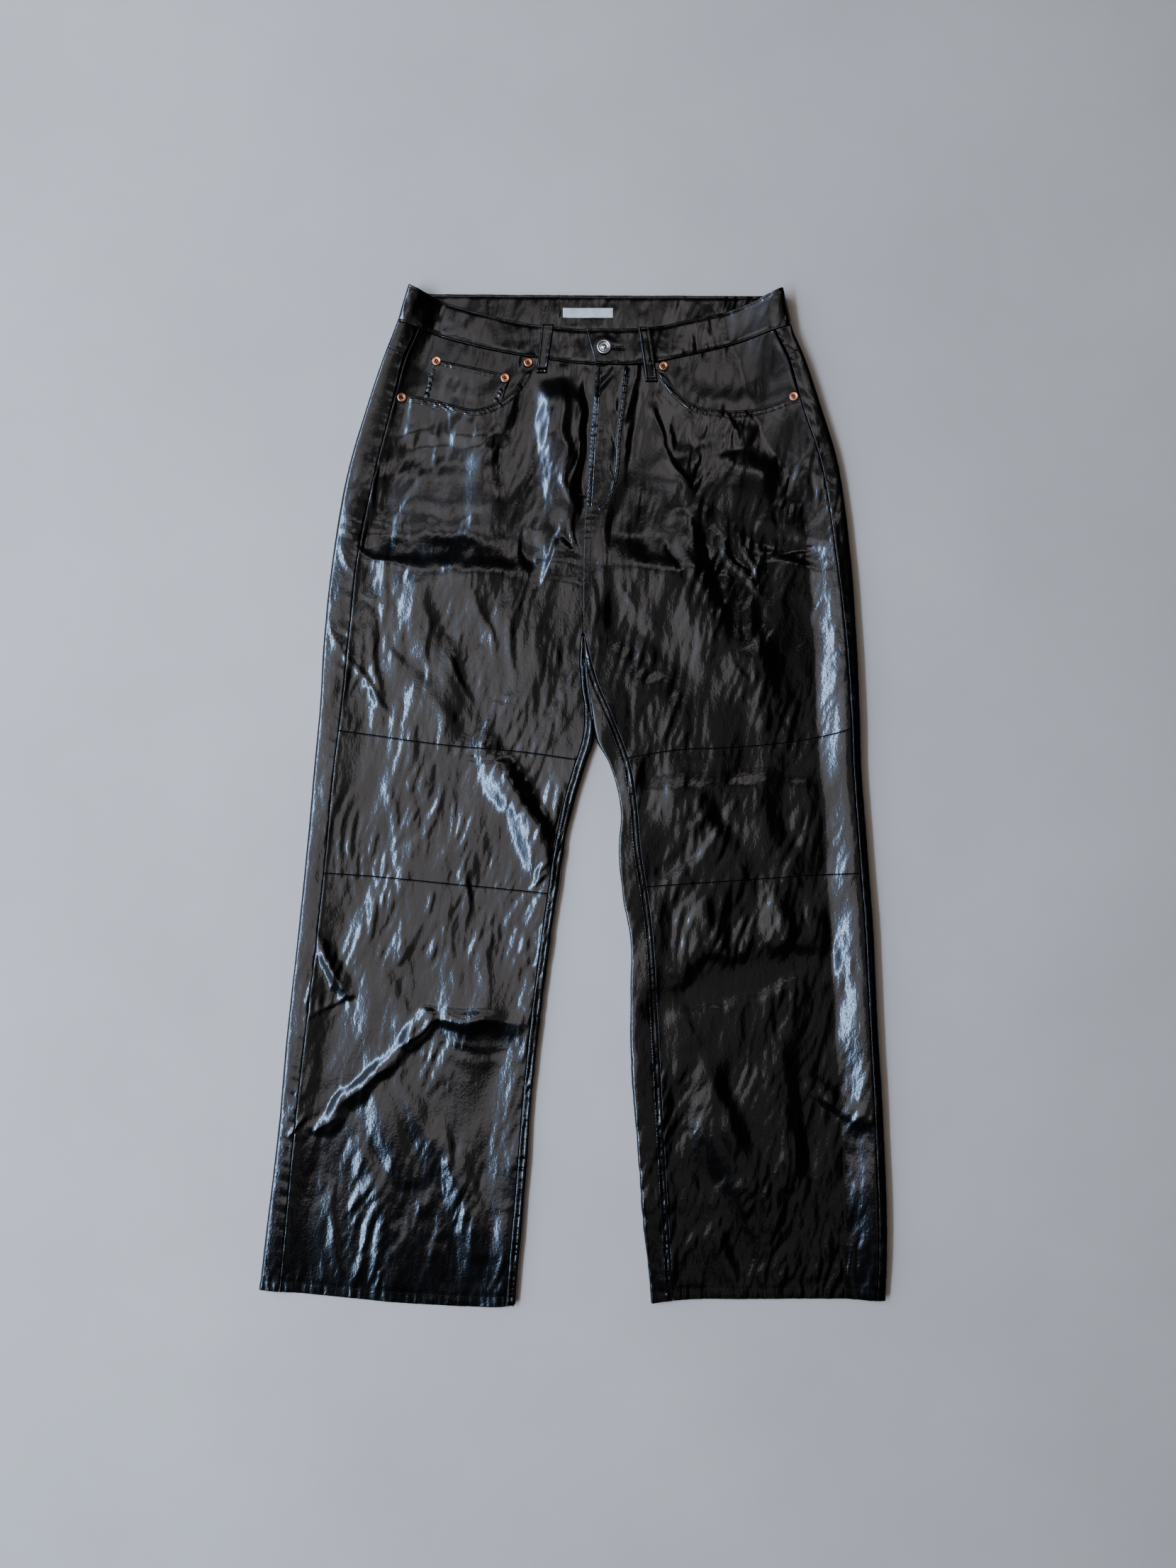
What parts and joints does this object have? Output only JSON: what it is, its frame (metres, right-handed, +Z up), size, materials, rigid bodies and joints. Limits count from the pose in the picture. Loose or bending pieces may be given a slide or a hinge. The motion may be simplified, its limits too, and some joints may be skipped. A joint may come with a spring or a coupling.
{
  "type": "leather trousers, laid flat",
  "caption": "Straight black leather five-pocket trousers laid flat on their back, with knee panels, waistband, belt loops, copper rivets and a shank button.",
  "frame": {"origin": "centre of the garment's box at the height of the surface it lies on", "axes": "+X towards the wearer's left, +Y from the hems to the waist, +Z up out of the surface, so the front side of the trousers faces +Z"},
  "size_m": [0.6538, 1.0608, 0.0245],
  "materials": {
    "leather": "black coated leather, semi-gloss, fine creases along the leg",
    "facing": "black coated leather behind the pocket openings, a little duller",
    "label": "white woven satin, blank",
    "rivets": "copper, polished ring round a dark centre",
    "button": "nickel, polished, worn"
  },
  "bodies": {
    "root": {"right_front_upper": "leather", "right_front_knee": "leather", "right_front_lower": "leather", "left_front_upper": "leather", "left_front_knee": "leather", "left_front_lower": "leather", "right_back": "leather", "left_back": "leather", "right_yoke": "leather", "left_yoke": "leather", "right_pocket_facing": "facing", "left_pocket_facing": "facing", "right_back_pocket": "leather", "left_back_pocket": "leather", "coin_pocket": "leather", "waistband": "leather", "loop_front_right": "leather", "loop_front_left": "leather", "loop_back_right": "leather", "loop_back_centre": "leather", "loop_back_left": "leather", "label": "label", "button": "button", "rivet_coin_outer": "rivets", "rivet_coin_inner": "rivets", "rivet_opening_inner_right": "rivets", "rivet_opening_outer_right": "rivets", "rivet_opening_inner_left": "rivets", "rivet_opening_outer_left": "rivets"}
  },
  "joints": []
}
